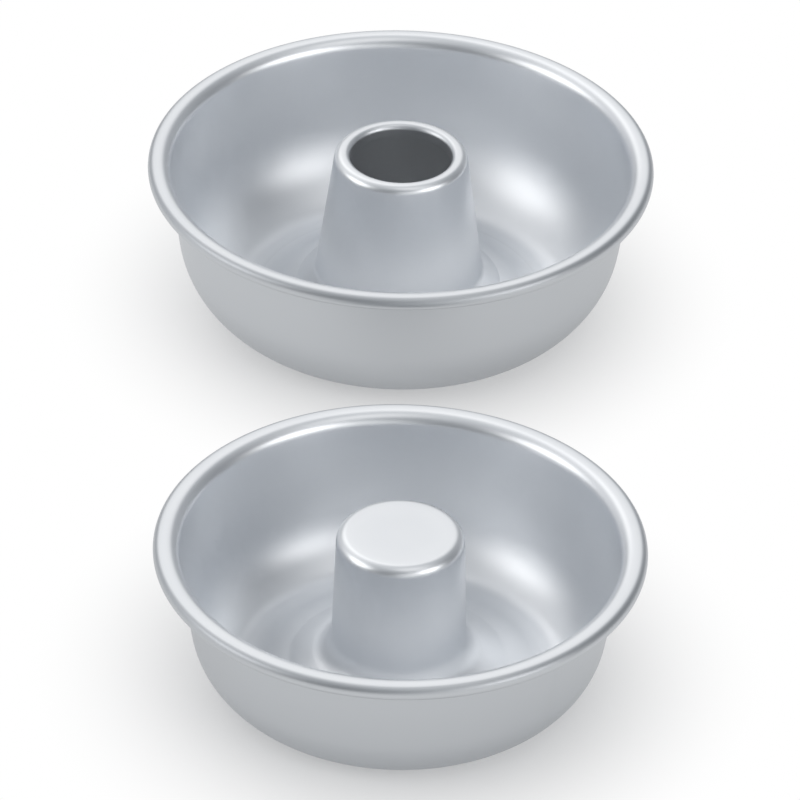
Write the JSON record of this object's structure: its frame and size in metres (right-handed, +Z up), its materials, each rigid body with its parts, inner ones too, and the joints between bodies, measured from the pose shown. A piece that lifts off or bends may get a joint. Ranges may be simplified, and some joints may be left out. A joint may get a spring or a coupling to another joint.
{
  "type": "flan mould",
  "caption": "Drawn aluminium ring moulds for flan with rolled rims, the larger with an open tapered tube and the smaller with a closed straight tube.",
  "frame": {"origin": "middle of the set's footprint, on the surface that both moulds stand on", "axes": "+Z up along the tubes, +Y from the closed-tube mould to the open-tube mould, +X to the right of both"},
  "size_m": [0.1758, 0.3868, 0.06],
  "materials": {
    "satin_aluminium": "satin, drawn"
  },
  "bodies": {
    "open_mould": {"open_tube_mould": "satin_aluminium"},
    "closed_mould": {"closed_tube_mould": "satin_aluminium"}
  },
  "joints": [
    {"name": "closed_mould_lift", "type": "slide", "parent": "open_mould", "child": "closed_mould", "axis": [0, 0, 1], "range_m": [0, 0.1]}
  ]
}
